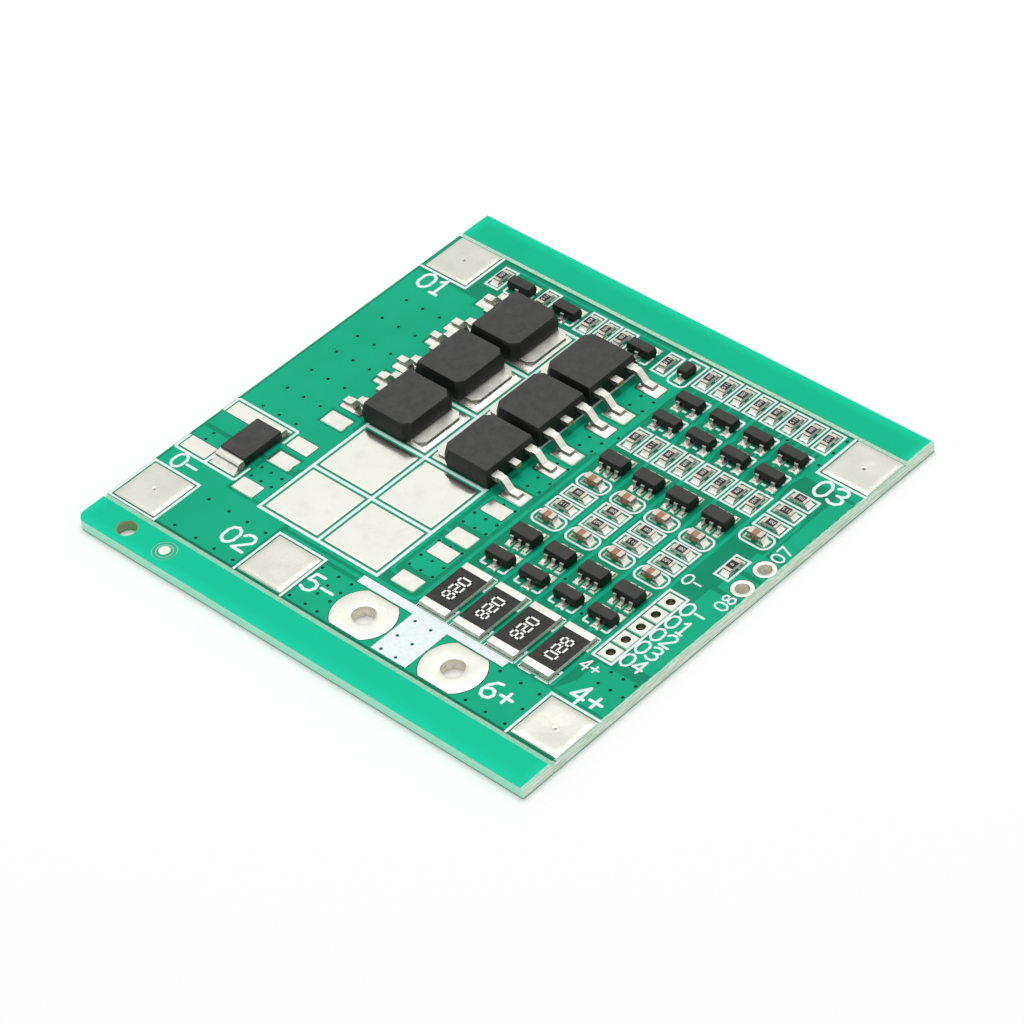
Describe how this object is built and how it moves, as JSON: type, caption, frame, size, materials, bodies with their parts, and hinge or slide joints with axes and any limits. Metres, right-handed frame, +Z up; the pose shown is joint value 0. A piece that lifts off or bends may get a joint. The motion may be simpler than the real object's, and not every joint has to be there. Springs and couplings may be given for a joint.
{
  "type": "battery management board",
  "caption": "Square circuit board that protects and balances a battery: tinned wire pads, power transistors, rows of small chips and two breakaway rails.",
  "frame": {"origin": "middle of the panel's underside", "axes": "+X along the breakaway rails, from the rounded corner's side towards the header's side; +Y from the rail with the tooling hole to the plain rail; +Z up, out of the side with the components"},
  "size_m": [0.056, 0.056, 0.0034],
  "materials": {
    "laminate": "satin",
    "copper": "satin",
    "solder_mask": "gloss",
    "ink": "matte",
    "tinned_land": "satin",
    "tinned_lead": "satin",
    "moulding": "matte",
    "ceramic": "satin",
    "resistor_coat": "satin",
    "capacitor_ceramic": "satin"
  },
  "bodies": {
    "root": {"laminate": "laminate", "copper_foil": "copper", "solder_mask": "solder_mask", "legend_ink": "ink", "battery_pad_1": "tinned_land", "battery_pad_2": "tinned_land", "battery_pad_3": "tinned_land", "battery_pad_negative": "tinned_land", "battery_pad_positive": "tinned_land", "output_land_negative": "tinned_land", "output_land_positive": "tinned_land", "balance_header_lands": "tinned_land", "sensor_lands": "tinned_land", "transistor_lands": "tinned_land", "component_lands": "tinned_land", "transistor_body_1": "moulding", "transistor_body_2": "moulding", "transistor_body_3": "moulding", "transistor_body_4": "moulding", "transistor_body_5": "moulding", "transistor_body_6": "moulding", "transistor_leadframe_1": "tinned_lead", "transistor_leadframe_2": "tinned_lead", "transistor_leadframe_3": "tinned_lead", "transistor_leadframe_4": "tinned_lead", "transistor_leadframe_5": "tinned_lead", "transistor_leadframe_6": "tinned_lead", "sense_resistor_body": "moulding", "sense_resistor_terminals": "tinned_lead", "balance_resistor_body_1": "ceramic", "balance_resistor_body_2": "ceramic", "balance_resistor_body_3": "ceramic", "balance_resistor_body_4": "ceramic", "balance_resistor_coats": "resistor_coat", "balance_resistor_terminals": "tinned_lead", "upper_chip_body_1": "moulding", "upper_chip_body_2": "moulding", "upper_chip_body_3": "moulding", "upper_chip_body_4": "moulding", "lower_chip_body_1": "moulding", "lower_chip_body_2": "moulding", "lower_chip_body_3": "moulding", "lower_chip_body_4": "moulding", "upper_chip_leads": "tinned_lead", "lower_chip_leads": "tinned_lead", "driver_transistor_leads": "tinned_lead", "bleed_transistor_leads": "tinned_lead", "level_transistor_leads": "tinned_lead", "diode_leads": "tinned_lead", "chip_resistor_terminals": "tinned_lead", "chip_capacitor_terminals": "tinned_lead", "driver_transistor_bodies": "moulding", "bleed_transistor_bodies": "moulding", "level_transistor_bodies": "moulding", "diode_body": "moulding", "chip_resistor_bodies": "ceramic", "chip_resistor_coats": "resistor_coat", "chip_capacitor_bodies": "capacitor_ceramic"}
  },
  "joints": []
}
